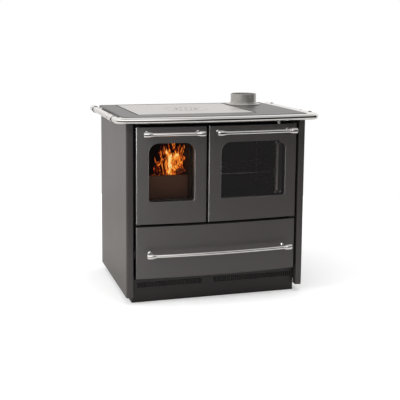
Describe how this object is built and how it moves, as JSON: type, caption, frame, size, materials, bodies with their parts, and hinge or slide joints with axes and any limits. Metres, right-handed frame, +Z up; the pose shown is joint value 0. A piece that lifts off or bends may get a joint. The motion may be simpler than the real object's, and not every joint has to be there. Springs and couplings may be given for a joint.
{
  "type": "wood cookstove",
  "caption": "Free-standing wood-burning cookstove with glazed firebox and oven doors, a wood drawer, a steel hob with lift-out rings and a towel rail round three sides.",
  "frame": {"origin": "on the floor, under the centre of the bounding box", "axes": "+X to the right as seen from the front, -Y out of the doors, +Z up; millimetre source, metres here"},
  "size_m": [0.9808, 0.7068, 0.9166],
  "materials": {
    "casing": "satin",
    "black": "matte",
    "hob": "satin",
    "cast_iron": "matte",
    "chrome": "polished",
    "enamel": "gloss",
    "firebrick": "matte",
    "glass": "gloss",
    "rope": "matte",
    "zinc": "satin"
  },
  "bodies": {
    "stove": {"plinth_front": "black", "base_frame": "black", "front_frame": "black", "inner_wall_left": "black", "inner_wall_right": "black", "mid_plate": "black", "side_panel_left": "casing", "side_panel_right": "casing", "back_panel": "casing", "fire_door_hinge_top": "zinc", "fire_door_hinge_bottom": "zinc", "oven_door_hinge_top": "zinc", "oven_door_hinge_bottom": "zinc", "drawer_runner_left": "zinc", "drawer_runner_right": "zinc", "ash_pan": "zinc", "rail": "chrome", "rail_bracket_front_left": "chrome", "rail_bracket_front_right": "chrome", "rail_bracket_rear_left": "chrome", "rail_bracket_rear_right": "chrome", "oven_rack_left": "chrome", "oven_rack_right": "chrome", "oven_shelf": "chrome", "top_frame": "cast_iron", "flue_collar": "cast_iron", "firebox_shell": "cast_iron", "fire_grate": "cast_iron", "log_retainer": "cast_iron", "smoke_partition": "cast_iron", "hob_plate": "hob", "firebrick_left": "firebrick", "firebrick_right": "firebrick", "firebrick_back": "firebrick", "oven_liner": "enamel"},
    "fire_door": {"fire_door_panel": "casing", "fire_door_frame": "black", "fire_door_glass": "glass", "fire_door_seal": "rope", "fire_door_handle_bar": "chrome", "fire_door_handle_end_left": "chrome", "fire_door_handle_end_right": "chrome"},
    "oven_door": {"oven_door_panel": "casing", "oven_door_frame": "black", "oven_door_glass": "glass", "oven_door_seal": "rope", "oven_door_handle_bar": "chrome", "oven_door_handle_end_left": "chrome", "oven_door_handle_end_right": "chrome"},
    "drawer": {"drawer_front": "casing", "drawer_box": "black", "drawer_handle_bar": "chrome", "drawer_handle_end_left": "chrome", "drawer_handle_end_right": "chrome", "drawer_slide_left": "zinc", "drawer_slide_right": "zinc"},
    "damper": {"damper_slide": "zinc", "damper_knob": "chrome"},
    "hob_ring": {"hob_ring": "hob"},
    "hob_lid": {"hob_lid": "hob"}
  },
  "joints": [
    {"name": "fire_door_hinge", "type": "hinge", "parent": "stove", "child": "fire_door", "pos_m": [-0.374, -0.25855, 0.59], "axis": [0, 0, -1], "range_deg": [0, 95]},
    {"name": "oven_door_hinge", "type": "hinge", "parent": "stove", "child": "oven_door", "pos_m": [0.374, -0.25855, 0.59], "axis": [0, 0, 1], "range_deg": [0, 95]},
    {"name": "drawer_slide", "type": "slide", "parent": "stove", "child": "drawer", "axis": [0, -1, 0], "range_m": [0, 0.4]},
    {"name": "damper_pull", "type": "slide", "parent": "stove", "child": "damper", "axis": [0, -1, 0], "range_m": [0, 0.06]},
    {"name": "hob_ring_lift", "type": "slide", "parent": "stove", "child": "hob_ring", "axis": [0, 0, 1], "range_m": [0, 0.08]},
    {"name": "hob_lid_lift", "type": "slide", "parent": "hob_ring", "child": "hob_lid", "axis": [0, 0, 1], "range_m": [0, 0.08]}
  ]
}
